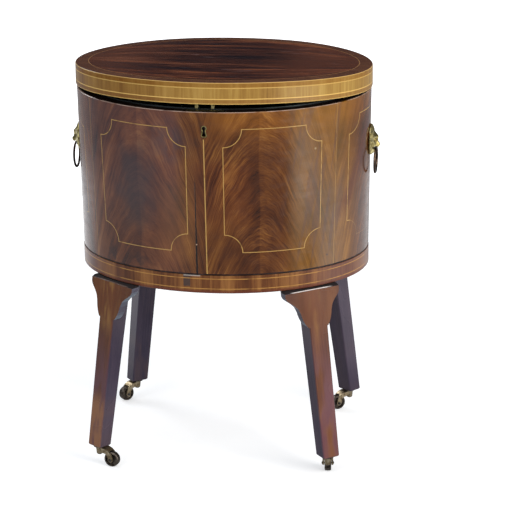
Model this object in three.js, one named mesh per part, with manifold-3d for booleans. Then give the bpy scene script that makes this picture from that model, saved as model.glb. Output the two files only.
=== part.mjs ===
// An oval cellarette: a lidded, lined wine well with bottle divisions, on four splayed legs with swivel casters.
// Millimetres, +X to the right, +Y to the back, +Z up; the origin is on the floor below the middle of the oval.

import * as THREE from "three";
import { mergeVertices } from "three/addons/utils/BufferGeometryUtils.js";
import Module from "manifold-3d";

const wasm = await Module();
wasm.setup();

// Clearances
const seatGap = 0.3;
const runningGap = 0.5;
const overrun = 5;
const mergeDistance = 1e-4;

// Facets
const ovalSegments = 72;
const roundSegments = 20;
const smallSegments = 12;
const curveSteps = 5;

// The oval body
const bodyLength = 520.4;
const bodyDepth = 422.4;
const wallHeight = 290;
const wallThickness = 18;
const wallArris = 0.8;
const wallFlare = 4.6;

// Base band, dark bead and bottom board
const bandHeight = 32.5;
const bandWidth = 28;
const bandProud = 0.5;
const bandArris = 1.5;
const beadHeight = 2.4;
const beadWidth = 10;
const beadRecess = 0.6;
const bottomThickness = 12;

// Metal lining
const linerThickness = 2;
const linerLipRise = 1.5;

// Bottle divisions, halved together
const dividerThickness = 9;
const dividerHeight = 150;
const cellSpacing = 100;
const dividerClearance = 1;
const rowShares = { front: -0.5, back: 0.5 };
const columnShares = { far_left: -1.5, left: -0.5, right: 0.5, far_right: 1.5 };

// Lid
const lidOverhang = 6.5;
const lidThickness = 38;
const lidBoardThickness = 9.5;
const lidRimWidth = 23.2;
const lidArris = 1.2;
const lidClosedGap = 0.6;
const lidAjarDegrees = 1.8;
const lidFlatHalf = 70;
const lidDrops = { left: 3.4, right: 5.4 };

// Butt hinges at the back of the lid
const hingeLength = 50;
const hingeOffset = 45;
const hingeStandOff = 0.8;
const barrelRadius = 2.8;
const hingePinRadius = 1.3;
const hingePinHeadRadius = 2.4;
const hingePinHeadHeight = 1.4;
const hingeLeafThickness = 1.6;
const hingeLeafReach = 19;
const knuckleCount = 5;

// Lock, its selvedge, its bolt and the link plate in the lid
const lockWidth = 60;
const lockDrop = 45;
const lockThickness = 9;
const lockSetback = 6.7;
const selvedgeWidth = 66;
const selvedgeDepth = 11;
const selvedgeThickness = 2;
const stapleSpacing = 28;
const stapleWidth = 5;
const stapleDepth = 6;
const stapleDrop = 10;
const stapleEyeDepth = 3.4;
const stapleEyeHeight = 4.4;
const stapleTip = 1.5;
const linkPlateThickness = 1.8;
const linkPlateWidth = 56;
const linkPlateDepth = 10;
const boltTravel = 7;
const boltThickness = 2.6;
const boltBarHeight = 5;
const boltBarDrop = 19;
const boltPostWidth = 2;
const boltFingerHeight = 3;
const boltCavityDepth = 6.6;

// Keyhole and its inlaid escutcheon
const keyholeDrop = 28.5;
const keyholeHeadRadius = 3.4;
const keyholeWaistHalf = 1.9;
const keyholeWaistDrop = 5.3;
const keyholeSkirtHalf = 3.6;
const keyholeSkirtDrop = 14.4;
const escutcheonLine = 1.5;
const escutcheonThickness = 1.6;

// Legs: square, tapered and splayed, set tangent to the oval
const legTurnDegrees = 43.75;
const legHeight = 309;
const legProud = 7;
const legSplay = 44;
const legDrift = 10;
const legTopWidth = 38;
const legTopDepth = 35;
const legFootWidth = 33;
const legFootDepth = 27;
const legArris = 1.6;
const legFootBevel = 2;
const legLedgeDepth = 5;
const legLedgeDrop = 2.6;

// Shaped bracket ears on both sides of each leg head
const earWidths = { inner: 42, outer: 28.5 };
const earHeight = 70;
const earThickness = 16;

// The two curves of an ear's outline: start, two handles and end, as shares of its width and its height
const earCurveShares = [
  [[1, 0.14], [0.98, 0.27], [0.43, 0.34], [0.345, 0.6]],
  [[0.345, 0.6], [0.31, 0.74], [0.2, 0.89], [0.06, 0.97]],
];

// Swivel casters
const casterHeight = 37.6;
const casterPlateRadius = 11;
const casterPlateThickness = 2;
const pintleRadius = 3;
const bossTopRadius = 7;
const bossFootRadius = 5.6;
const bossHeight = 13;
const rivetRadius = 4.6;
const rivetHeight = 1.8;
const casterTrail = 25;
const hornWidth = 19.5;
const hornNeckHeight = 8.6;
const hornEndRadius = 4.3;
const wheelRadius = 14;
const wheelWidth = 12;
const wheelBore = 2;
const wheelHubRadius = 4.6;
const wheelWebHalf = 3;
const wheelRimDepth = 3.4;
const wheelTreadRound = 1.6;
const wheelGap = 1.3;
const axleRadius = 1.7;
const axleHeadRadius = 3;
const axleHeadHeight = 1.4;
const casterTurnsDegrees = { front_left: -14, front_right: 97, back_left: 222, back_right: 210 };

// Lion-mask handles with their hanging rings
const maskHalfWidth = 23;
const maskHalfHeight = 27.5;
const maskEdge = 2.2;
const maskCrown = 5.6;
const maskDrops = { left: 99.4, right: 93.6 };
const maskRings = 8;
const maskSpokes = 36;
const maskLocks = 12;
const maneRidge = 1.1;
const maneScallop = 1.3;
const ringRadius = 23;
const ringWireRadius = 2.2;
const ringStandOff = 10.5;
const ringPivotDrop = 14.5;
const ringBoreRadius = 3.6;
const ringTubeSides = 8;
const ringSteps = 32;

// Features of the lion's face: middle, spread and rise, as shares of the mask's half height
const faceShares = {
  brow: { across: 0, up: 0.3, wide: 0.3, tall: 0.16, rise: 0.12 },
  browRidge: { across: 0.25, up: 0.2, wide: 0.13, tall: 0.07, rise: 0.08 },
  eye: { across: 0.25, up: 0.05, wide: 0.09, tall: 0.06, rise: -0.09 },
  noseBridge: { across: 0, up: 0.02, wide: 0.1, tall: 0.26, rise: 0.2 },
  nose: { across: 0, up: -0.26, wide: 0.13, tall: 0.09, rise: 0.1 },
  muzzle: { across: 0, up: -0.44, wide: 0.2, tall: 0.17, rise: 0.31 },
  cheek: { across: 0.4, up: -0.18, wide: 0.12, tall: 0.16, rise: 0.07 },
  ear: { across: 0.52, up: 0.6, wide: 0.1, tall: 0.11, rise: 0.12 },
  beard: { across: 0, up: -0.84, wide: 0.14, tall: 0.1, rise: 0.09 },
};
const maneStartShare = 0.55;
const maneFullShare = 0.8;

// Levels and half sizes that follow from the driving dimensions
const halfLength = bodyLength / 2;
const halfDepth = bodyDepth / 2;
const stretch = halfLength - halfDepth;
const bandBottom = casterHeight + legHeight + seatGap;
const bandTop = bandBottom + bandHeight;
const beadBottom = bandTop + seatGap;
const wallBottom = beadBottom + beadHeight + seatGap;
const wallTop = wallBottom + wallHeight;
const bottomLevel = bandTop + seatGap;
const linerLevel = bottomLevel + bottomThickness + seatGap;
const dividerLevel = linerLevel + linerThickness + seatGap;
const lidBottom = wallTop + lidClosedGap;
const hingeY = halfDepth + wallFlare + hingeStandOff;
const hingeZ = wallTop + lidClosedGap / 2;
const lockMiddleY = -(halfDepth - lockSetback - lockThickness / 2);
const keyholeZ = wallTop - keyholeDrop;
const wallLean = Math.atan(wallFlare / wallHeight);

// Finishes
const finish = (color, roughness, metalness) => new THREE.MeshStandardMaterial({ color, roughness, metalness });
const mahogany = finish(0x6b3320, 0.28, 0);
const flameMahogany = finish(0x7a4526, 0.22, 0);
const crossbanding = finish(0xa5673a, 0.28, 0);
const ebonised = finish(0x1d1714, 0.35, 0);
const deal = finish(0x9c7a52, 0.7, 0);
const leadSheet = finish(0x7d8580, 0.5, 0.8);
const brass = finish(0xb8975a, 0.35, 1);
const agedBrass = finish(0x8a744a, 0.45, 1);
const bronze = finish(0x4a3c36, 0.4, 1);
const steel = finish(0x6d6a66, 0.45, 1);

function vec(x, y) {
  return new THREE.Vector2(x, y);
}

function rad(degrees) {
  return THREE.MathUtils.degToRad(degrees);
}

// Joins shared vertices and turns the faces outward
function closed(geometry) {
  geometry.deleteAttribute("normal");
  geometry.deleteAttribute("uv");
  const merged = mergeVertices(geometry, mergeDistance);
  const position = merged.attributes.position;
  const order = Array.from(merged.index.array);
  const kept = [];
  let volume = 0;
  for (let i = 0; i < order.length; i += 3) {
    const [i0, i1, i2] = order.slice(i, i + 3);
    if (i0 === i1 || i1 === i2 || i2 === i0) continue;
    kept.push(i0, i1, i2);
    const a = new THREE.Vector3().fromBufferAttribute(position, i0);
    const b = new THREE.Vector3().fromBufferAttribute(position, i1);
    const c = new THREE.Vector3().fromBufferAttribute(position, i2);
    volume += a.dot(b.cross(c));
  }
  if (volume < 0) kept.reverse();
  merged.setIndex(kept);
  return merged;
}

function solid(geometry) {
  const shape = closed(geometry);
  const vertProperties = new Float32Array(shape.attributes.position.array);
  const triVerts = new Uint32Array(shape.index.array);
  return new wasm.Manifold(new wasm.Mesh({ numProp: 3, vertProperties, triVerts }));
}

function surface(manifold) {
  const mesh = manifold.getMesh();
  const geometry = new THREE.BufferGeometry();
  geometry.setAttribute("position", new THREE.BufferAttribute(new Float32Array(mesh.vertProperties), 3));
  geometry.setIndex(new THREE.BufferAttribute(new Uint32Array(mesh.triVerts), 1));
  return geometry;
}

function cut(base, ...tools) {
  return tools.reduce((body, tool) => body.subtract(solid(tool)), base);
}

function join(base, ...additions) {
  return additions.reduce((body, addition) => body.add(solid(addition)), base);
}

// A box between two corners
function block(low, high) {
  const size = high.map((value, i) => value - low[i]);
  const middle = high.map((value, i) => (value + low[i]) / 2);
  return new THREE.BoxGeometry(...size).translate(...middle);
}

// A cylinder between two values along one axis
function rod(radius, from, to, axis, segments = roundSegments) {
  const geometry = new THREE.CylinderGeometry(radius, radius, to - from, segments);
  geometry.translate(0, (from + to) / 2, 0);
  if (axis === "x") geometry.rotateZ(-Math.PI / 2);
  if (axis === "z") geometry.rotateX(Math.PI / 2);
  return geometry;
}

function prism(shape, depth) {
  return new THREE.ExtrudeGeometry(shape, { depth, bevelEnabled: false, curveSegments: curveSteps });
}

function turned(points, segments) {
  return new THREE.LatheGeometry(points, segments).rotateX(Math.PI / 2);
}

// A turned profile drawn out along X, so that every offset keeps its width at both the ends and the sides
function oval(profile) {
  const points = profile.map(([offset, z]) => vec(Math.max(halfDepth + offset, 0), z));
  const geometry = turned(points, ovalSegments);
  const position = geometry.attributes.position;
  for (let i = 0; i < position.count; i += 1) {
    const radius = Math.hypot(position.getX(i), position.getY(i));
    if (radius > seatGap) position.setX(i, position.getX(i) * (1 + stretch / radius));
  }
  return geometry;
}

function ovalRing(profile) {
  return oval([...profile, profile[0]]);
}

function ovalBoard(profile) {
  const middle = -halfDepth;
  const low = profile[0][1];
  const high = profile[profile.length - 1][1];
  return oval([[middle, low], ...profile, [middle, high]]);
}

// Half the chord of an inset oval, seen from a line parallel to X or to Y
function reachAlongX(inset, y) {
  return (halfLength - inset) * Math.sqrt(1 - (y / (halfDepth - inset)) ** 2);
}

function reachAlongY(inset, x) {
  return (halfDepth - inset) * Math.sqrt(1 - (x / (halfLength - inset)) ** 2);
}

function piece(name, geometry, material) {
  const shape = geometry.isBufferGeometry ? closed(geometry) : surface(geometry);
  shape.computeVertexNormals();
  const mesh = new THREE.Mesh(shape, material);
  mesh.name = name;
  return mesh;
}

// How far the wall's outer face stands out at a level: the body widens upward
function flareAt(level) {
  return wallFlare * (level - wallBottom) / wallHeight;
}

// A keyhole outline in the X-Z plane of a drawing, grown by a margin
function keyholeShape(margin) {
  const head = keyholeHeadRadius + margin;
  const waist = keyholeWaistHalf + margin;
  const skirt = keyholeSkirtHalf + margin;
  const foot = -(keyholeSkirtDrop + margin);
  const neckAngle = Math.asin(waist / head);
  const shape = new THREE.Shape();
  shape.absarc(0, 0, head, -Math.PI / 2 + neckAngle, 1.5 * Math.PI - neckAngle, false);
  shape.lineTo(-waist, -keyholeWaistDrop);
  shape.lineTo(-skirt, foot + waist);
  shape.quadraticCurveTo(-skirt, foot, 0, foot);
  shape.quadraticCurveTo(skirt, foot, skirt, foot + waist);
  shape.lineTo(waist, -keyholeWaistDrop);
  return shape;
}

// The keyhole outline as a cutter from a front face inward
function keyholePrism(margin, front, depth) {
  return prism(keyholeShape(margin), depth)
    .rotateX(Math.PI / 2)
    .translate(0, front + depth, keyholeZ);
}

function hingeBays() {
  return [-hingeOffset, hingeOffset];
}

// Clear space for a hinge barrel at the joint of the wall and the lid
function barrelNotch(middle, from, to) {
  const reach = barrelRadius + runningGap;
  const half = hingeLength / 2 + hingePinHeadHeight + 2 * seatGap;
  return block([middle - half, hingeY - reach, from], [middle + half, hingeY + barrelRadius + overrun, to]);
}

function leafRecess(middle, from, to) {
  const half = hingeLength / 2 + seatGap;
  const back = hingeY - hingeLeafReach - seatGap;
  return block([middle - half, back, from], [middle + half, hingeY + overrun, to]);
}

function carcassWall() {
  const inner = -wallThickness;
  const ring = ovalRing([
    [inner, wallBottom],
    [0, wallBottom],
    [wallFlare, wallTop - wallArris],
    [wallFlare - wallArris, wallTop],
    [inner, wallTop],
  ]);
  const lockHalf = lockWidth / 2 + seatGap;
  const selvedgeHalf = selvedgeWidth / 2 + seatGap;
  const lockFront = lockMiddleY - lockThickness / 2 - seatGap;
  const innerFace = -(halfDepth - wallThickness) + overrun;
  const mortise = block([-lockHalf, lockFront, wallTop - lockDrop - seatGap], [lockHalf, innerFace, wallTop + overrun]);
  const rebate = block(
    [-selvedgeHalf, lockMiddleY - selvedgeDepth / 2 - seatGap, wallTop - selvedgeThickness - 2 * seatGap],
    [selvedgeHalf, lockMiddleY + selvedgeDepth / 2 + seatGap, wallTop + overrun],
  );
  const flare = flareAt(keyholeZ);
  const pocketFront = -halfDepth - flare - overrun;
  const pocket = keyholePrism(escutcheonLine + seatGap, pocketFront, overrun + escutcheonThickness + seatGap);
  const keyway = keyholePrism(0, pocketFront, overrun + flare + lockSetback + seatGap + overrun);
  let wall = cut(solid(ring), mortise, rebate, pocket, keyway);
  for (const middle of hingeBays()) {
    const leafFloor = hingeZ - lidClosedGap / 2 - hingeLeafThickness - seatGap;
    const reach = barrelRadius + runningGap;
    wall = cut(
      wall,
      leafRecess(middle, leafFloor, wallTop + overrun),
      barrelNotch(middle, hingeZ - reach, wallTop + overrun),
    );
  }
  return piece("carcass_wall", wall, flameMahogany);
}

function baseBead() {
  const ring = ovalRing([
    [-beadWidth, beadBottom],
    [-beadRecess, beadBottom],
    [-beadRecess, beadBottom + beadHeight],
    [-beadWidth, beadBottom + beadHeight],
  ]);
  return piece("base_bead", ring, ebonised);
}

function baseBand() {
  const ring = ovalRing([
    [-bandWidth, bandBottom],
    [bandProud - bandArris, bandBottom],
    [bandProud, bandBottom + bandArris],
    [bandProud, bandTop],
    [-bandWidth, bandTop],
  ]);
  return piece("base_band", ring, crossbanding);
}

function bottomBoard() {
  const edge = -(wallThickness + seatGap);
  const board = ovalBoard([
    [edge, bottomLevel],
    [edge, bottomLevel + bottomThickness],
  ]);
  return piece("bottom_board", board, deal);
}

function liner() {
  const outer = -(wallThickness + seatGap);
  const inner = outer - linerThickness;
  const lip = wallTop + linerLipRise;
  const cup = oval([
    [-halfDepth, linerLevel],
    [outer, linerLevel],
    [outer, lip],
    [inner, lip],
    [inner, linerLevel + linerThickness],
    [-halfDepth, linerLevel + linerThickness],
  ]);
  return piece("liner", cup, leadSheet);
}

// One board of the bottle divisions, lying along X, with its halving slots cut from above or below
function divider(halfSpan, slotPlaces, slotsFromAbove) {
  const half = dividerThickness / 2;
  const board = block([-halfSpan, -half, 0], [halfSpan, half, dividerHeight]);
  const slotHalf = half + seatGap;
  const middle = dividerHeight / 2;
  const low = slotsFromAbove ? middle - seatGap : -overrun;
  const high = slotsFromAbove ? dividerHeight + overrun : middle;
  const slots = slotPlaces.map((place) =>
    block([place - slotHalf, -dividerThickness, low], [place + slotHalf, dividerThickness, high]),
  );
  return cut(solid(board), ...slots);
}

function bottleDivisions() {
  const group = new THREE.Group();
  group.position.z = dividerLevel;
  const inset = wallThickness + seatGap + linerThickness + dividerClearance;
  const rows = Object.values(rowShares).map((share) => share * cellSpacing);
  const columns = Object.values(columnShares).map((share) => share * cellSpacing);
  for (const [name, share] of Object.entries(rowShares)) {
    const y = share * cellSpacing;
    const halfSpan = reachAlongX(inset, Math.abs(y) + dividerThickness / 2);
    const board = piece("divider_long_" + name, divider(halfSpan, columns, true), mahogany);
    board.position.y = y;
    group.add(board);
  }
  for (const [name, share] of Object.entries(columnShares)) {
    const x = share * cellSpacing;
    const halfSpan = reachAlongY(inset, Math.abs(x) + dividerThickness / 2);
    const board = piece("divider_cross_" + name, divider(halfSpan, rows, false), mahogany);
    board.position.x = x;
    board.rotation.z = Math.PI / 2;
    group.add(board);
  }
  return group;
}

// The bolt's places along X at rest: it is drawn clear of both staples
function boltPlaces() {
  const staples = [-stapleSpacing / 2, stapleSpacing / 2];
  const fingerEnd = -(stapleWidth / 2 + seatGap + runningGap);
  const postEnd = fingerEnd + runningGap - boltTravel;
  return { staples, fingerEnd, postEnd, postStart: postEnd - boltPostWidth };
}

function lockCase() {
  const half = lockWidth / 2;
  const top = wallTop - selvedgeThickness - 3 * seatGap;
  const front = lockMiddleY - lockThickness / 2;
  const back = lockMiddleY + lockThickness / 2;
  const { staples, fingerEnd, postStart } = boltPlaces();
  const cavityFloor = wallTop - boltBarDrop - boltBarHeight / 2;
  const cavity = block(
    [staples[0] + postStart - runningGap, lockMiddleY - boltCavityDepth / 2, cavityFloor - runningGap],
    [staples[1] + fingerEnd + boltTravel + runningGap, lockMiddleY + boltCavityDepth / 2, top + overrun],
  );
  const body = block([-half, front, wallTop - lockDrop], [half, back, top]);
  const keyway = keyholePrism(0, front - overrun, overrun + lockThickness / 2);
  return piece("lock_case", cut(solid(body), cavity, keyway), steel);
}

function lockSelvedge() {
  const half = selvedgeWidth / 2;
  const top = wallTop - seatGap;
  const plate = block(
    [-half, lockMiddleY - selvedgeDepth / 2, top - selvedgeThickness],
    [half, lockMiddleY + selvedgeDepth / 2, top],
  );
  const slotX = stapleWidth / 2 + runningGap;
  const slotY = stapleDepth / 2 + runningGap;
  const slots = boltPlaces().staples.map((x) =>
    block([x - slotX, lockMiddleY - slotY, top - overrun], [x + slotX, lockMiddleY + slotY, top + overrun]),
  );
  return piece("lock_selvedge", cut(solid(plate), ...slots), brass);
}

function lockBolt() {
  const { staples, fingerEnd, postEnd, postStart } = boltPlaces();
  const half = boltThickness / 2;
  const barFoot = wallTop - boltBarDrop - boltBarHeight / 2;
  const fingerTop = eyeMiddleZ() + boltFingerHeight / 2;
  const bar = block([staples[0] + postStart, -half, barFoot], [staples[1] + postEnd, half, barFoot + boltBarHeight]);
  let bolt = solid(bar);
  for (const x of staples) {
    bolt = join(
      bolt,
      block([x + postStart, -half, barFoot], [x + postEnd, half, fingerTop]),
      block([x + postStart, -half, fingerTop - boltFingerHeight], [x + fingerEnd, half, fingerTop]),
    );
  }
  const mesh = piece("lock_bolt", bolt, steel);
  mesh.position.y = lockMiddleY;
  return mesh;
}

// The middle of the staples' eyes when the lid is closed
function eyeMiddleZ() {
  return lidBottom - stapleDrop + stapleTip + stapleEyeHeight / 2;
}

function escutcheon() {
  const front = -halfDepth - flareAt(keyholeZ) + seatGap / 2;
  const plate = keyholePrism(escutcheonLine, front, escutcheonThickness);
  const hole = keyholePrism(0, front - overrun, escutcheonThickness + 2 * overrun);
  return piece("escutcheon", cut(solid(plate), hole), brass);
}

// Knuckles of one leaf: every second one, counted from the first or the second
function knuckleRanges(first) {
  const length = hingeLength / knuckleCount;
  const ranges = [];
  for (let i = first; i < knuckleCount; i += 2) {
    const start = -hingeLength / 2 + i * length;
    ranges.push([start + seatGap / 2, start + length - seatGap / 2]);
  }
  return ranges;
}

// A hinge leaf about its own pin, with the plate below the pin's axis or above it
function hingeLeaf(first, above) {
  const near = lidClosedGap / 2;
  const low = above ? near : -near - hingeLeafThickness;
  const plateEnd = -(barrelRadius + runningGap);
  const half = hingeLength / 2;
  let leaf = solid(block([-half, -hingeLeafReach, low], [half, plateEnd, low + hingeLeafThickness]));
  for (const [from, to] of knuckleRanges(first)) {
    leaf = join(
      leaf,
      block([from, plateEnd - overrun, low], [to, 0, low + hingeLeafThickness]),
      rod(barrelRadius, from, to, "x", smallSegments),
    );
  }
  return cut(leaf, rod(hingePinRadius + seatGap, -hingeLength, hingeLength, "x", smallSegments));
}

function hingePin() {
  const shaftEnd = hingeLength / 2 + seatGap;
  const end = shaftEnd + hingePinHeadHeight;
  const points = [
    vec(0, -end),
    vec(hingePinHeadRadius, -end),
    vec(hingePinHeadRadius, -shaftEnd),
    vec(hingePinRadius, -shaftEnd),
    vec(hingePinRadius, shaftEnd),
    vec(hingePinHeadRadius, shaftEnd),
    vec(hingePinHeadRadius, end),
    vec(0, end),
  ];
  return turned(points, smallSegments).rotateY(Math.PI / 2);
}

function carcassHinges() {
  const group = new THREE.Group();
  group.position.set(0, hingeY, hingeZ);
  for (const [side, x] of [["left", -hingeOffset], ["right", hingeOffset]]) {
    const leaf = piece("hinge_body_leaf_" + side, hingeLeaf(0, false), brass);
    const pin = piece("hinge_pin_" + side, hingePin(), agedBrass);
    leaf.position.x = x;
    pin.position.x = x;
    group.add(leaf, pin);
  }
  return group;
}

// How far the old lid has sunk towards its ends; its middle is still flat
function lidDrop(x) {
  const share = Math.max(0, Math.abs(x) - lidFlatHalf) / (halfLength + lidOverhang - lidFlatHalf);
  return (x > 0 ? lidDrops.right : lidDrops.left) * share ** 2;
}

function sunk(geometry) {
  const position = geometry.attributes.position;
  for (let i = 0; i < position.count; i += 1) {
    position.setZ(i, position.getZ(i) - lidDrop(position.getX(i)));
  }
  return geometry;
}

// The board is straight from front to back at every place along X
function lidBoard() {
  const low = lidBottom + lidThickness - lidBoardThickness;
  const high = lidBottom + lidThickness;
  const profile = [
    [lidOverhang, low],
    [lidOverhang, high - lidArris],
    [lidOverhang - lidArris, high],
  ];
  const steps = ovalSegments / 2;
  const sections = [];
  for (let step = 0; step <= steps; step += 1) {
    const angle = Math.PI * step / steps;
    const place = ([offset, z], side) => {
      const x = (halfLength + offset) * Math.cos(angle);
      return new THREE.Vector3(x, side * (halfDepth + offset) * Math.sin(angle), z);
    };
    const front = profile.map((point) => place(point, -1));
    const back = profile.map((point) => place(point, 1));
    sections.push([...front, ...back.reverse()]);
  }
  return piece("lid_board", sunk(loft(sections, false)), mahogany);
}

function lidRim() {
  const inner = lidOverhang - lidRimWidth;
  const top = lidBottom + lidThickness - lidBoardThickness - seatGap;
  const ring = ovalRing([
    [inner, lidBottom],
    [lidOverhang - lidArris, lidBottom],
    [lidOverhang, lidBottom + lidArris],
    [lidOverhang, top],
    [inner, top],
  ]);
  const plateHalf = linkPlateWidth / 2 + seatGap;
  const plateRecess = block(
    [-plateHalf, lockMiddleY - linkPlateDepth / 2 - seatGap, lidBottom - overrun],
    [plateHalf, lockMiddleY + linkPlateDepth / 2 + seatGap, lidBottom + linkPlateThickness + seatGap],
  );
  let rim = cut(solid(sunk(ring)), plateRecess);
  for (const middle of hingeBays()) {
    const leafCeiling = hingeZ + lidClosedGap / 2 + hingeLeafThickness + seatGap;
    const reach = barrelRadius + runningGap;
    rim = cut(
      rim,
      leafRecess(middle, lidBottom - overrun, leafCeiling),
      barrelNotch(middle, lidBottom - overrun, hingeZ + reach),
    );
  }
  return piece("lid_rim", rim, crossbanding);
}

// The brass plate let into the lid, with two eyed staples that drop into the lock
function linkPlate() {
  const half = linkPlateWidth / 2;
  const middle = lockMiddleY;
  const tip = lidBottom - stapleDrop;
  let plate = solid(
    block(
      [-half, middle - linkPlateDepth / 2, lidBottom],
      [half, middle + linkPlateDepth / 2, lidBottom + linkPlateThickness],
    ),
  );
  for (const x of boltPlaces().staples) {
    const post = block(
      [x - stapleWidth / 2, middle - stapleDepth / 2, tip],
      [x + stapleWidth / 2, middle + stapleDepth / 2, lidBottom + linkPlateThickness],
    );
    const eye = block(
      [x - stapleWidth, middle - stapleEyeDepth / 2, tip + stapleTip],
      [x + stapleWidth, middle + stapleEyeDepth / 2, tip + stapleTip + stapleEyeHeight],
    );
    plate = cut(join(plate, post), eye);
  }
  return piece("lid_link_plate", plate, brass);
}

// The lid hangs on its hinge axis and stands a little open
function lid() {
  const swing = new THREE.Group();
  swing.position.set(0, hingeY, hingeZ);
  swing.rotation.x = -rad(lidAjarDegrees);
  const closedPose = new THREE.Group();
  closedPose.position.set(0, -hingeY, -hingeZ);
  closedPose.add(lidBoard(), lidRim(), linkPlate());
  swing.add(closedPose);
  for (const [side, x] of [["left", -hingeOffset], ["right", hingeOffset]]) {
    const leaf = piece("hinge_lid_leaf_" + side, hingeLeaf(1, true), brass);
    leaf.position.x = x;
    swing.add(leaf);
  }
  return swing;
}

// One leg's place: its outward and sideways directions and the middle of its head's front face
function legFrame(sideX, sideY) {
  const turn = rad(legTurnDegrees);
  const sin = Math.sin(turn);
  const cos = Math.cos(turn);
  const out = vec(sideX * sin / halfLength, sideY * cos / halfDepth).normalize();
  const along = vec(sideX * Math.abs(out.y), -sideY * Math.abs(out.x));
  const face = vec(sideX * sin * halfLength, sideY * cos * halfDepth).addScaledVector(out, legProud);
  return { out, along, face };
}

// A point of a leg: sideways from its middle line, inward from its front face and down from its head
function legPoint(frame, across, inward, drop) {
  const share = drop / legHeight;
  const depthLoss = (legTopDepth - legFootDepth) / 2;
  const outward = legSplay * share - depthLoss * share - inward;
  const sideways = legDrift * share + across;
  const place = frame.face.clone().addScaledVector(frame.out, outward).addScaledVector(frame.along, sideways);
  return new THREE.Vector3(place.x, place.y, casterHeight + legHeight - drop);
}

// A closed skin through rings of points, each with the same count; it needs no caps where its ends run out to an edge
function loft(rings, capped = true) {
  const count = rings[0].length;
  const points = rings.flat();
  const faces = [];
  for (let ring = 0; ring < rings.length - 1; ring += 1) {
    for (let i = 0; i < count; i += 1) {
      const a = ring * count + i;
      const b = ring * count + ((i + 1) % count);
      faces.push(a, b, b + count, a, b + count, a + count);
    }
  }
  const last = (rings.length - 1) * count;
  for (let i = 1; capped && i < count - 1; i += 1) {
    faces.push(0, i + 1, i, last, last + i, last + i + 1);
  }
  const geometry = new THREE.BufferGeometry();
  geometry.setFromPoints(points);
  geometry.setIndex(faces);
  return geometry;
}

// One level of a leg: a rectangle with its corners taken off
function legSection(frame, drop, frontSetback, inset) {
  const share = drop / legHeight;
  const half = THREE.MathUtils.lerp(legTopWidth, legFootWidth, share) / 2 - inset;
  const front = frontSetback + inset;
  const back = THREE.MathUtils.lerp(legTopDepth, legFootDepth, share) - inset;
  const corners = [
    [half - legArris, front],
    [half, front + legArris],
    [half, back - legArris],
    [half - legArris, back],
    [-half + legArris, back],
    [-half, back - legArris],
    [-half, front + legArris],
    [-half + legArris, front],
  ];
  return corners.map(([across, inward]) => legPoint(frame, across, inward, drop));
}

function leg(name, frame) {
  const rings = [
    legSection(frame, 0, legLedgeDepth, 0),
    legSection(frame, legLedgeDrop, 0, 0),
    legSection(frame, legHeight - legFootBevel, 0, 0),
    legSection(frame, legHeight, 0, legFootBevel),
  ];
  return piece("leg_" + name, loft(rings), mahogany);
}

// The ear's outline: away from the leg's side, and down from its head
function earShape(width) {
  const shape = new THREE.Shape();
  shape.moveTo(0, 0);
  shape.lineTo(width, 0);
  shape.lineTo(width, legLedgeDrop);
  for (const curve of earCurveShares) {
    const [start, ...others] = curve.map(([across, down]) => [across * width, down * earHeight]);
    shape.lineTo(...start);
    shape.bezierCurveTo(...others.flat());
  }
  shape.lineTo(0, earHeight);
  shape.lineTo(0, legLedgeDrop);
  return shape;
}

// A bracket ear glued beside a leg's head, its front flush with the leg's
function legEar(name, frame, side, width) {
  const geometry = prism(earShape(width), earThickness);
  const position = geometry.attributes.position;
  for (let i = 0; i < position.count; i += 1) {
    const away = position.getX(i);
    const drop = position.getY(i);
    const inward = position.getZ(i);
    const atFront = inward < earThickness / 2;
    const setback = atFront ? legLedgeDepth * Math.max(0, 1 - drop / legLedgeDrop) : 0;
    const half = THREE.MathUtils.lerp(legTopWidth, legFootWidth, drop / legHeight) / 2;
    const across = side * (half + seatGap + away);
    const point = legPoint(frame, across, inward + setback, drop);
    position.setXYZ(i, point.x, point.y, point.z);
  }
  return piece(name, geometry, mahogany);
}

function legFoot(frame) {
  return legPoint(frame, 0, legFootDepth / 2, legHeight);
}

// The fixed top of a caster: a plate under the leg with its riveted pintle
function casterPlate() {
  const plateFoot = -seatGap - casterPlateThickness;
  const rivetTop = plateFoot - bossHeight - 2 * seatGap;
  const points = [
    vec(0, -seatGap),
    vec(casterPlateRadius, -seatGap),
    vec(casterPlateRadius, plateFoot),
    vec(pintleRadius, plateFoot),
    vec(pintleRadius, rivetTop),
    vec(rivetRadius, rivetTop),
    vec(rivetRadius, rivetTop - rivetHeight / 2),
    vec(pintleRadius, rivetTop - rivetHeight),
    vec(0, rivetTop - rivetHeight),
  ];
  return turned(points, smallSegments);
}

function wheelLevel() {
  return wheelRadius * Math.cos(Math.PI / roundSegments) - casterHeight;
}

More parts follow.
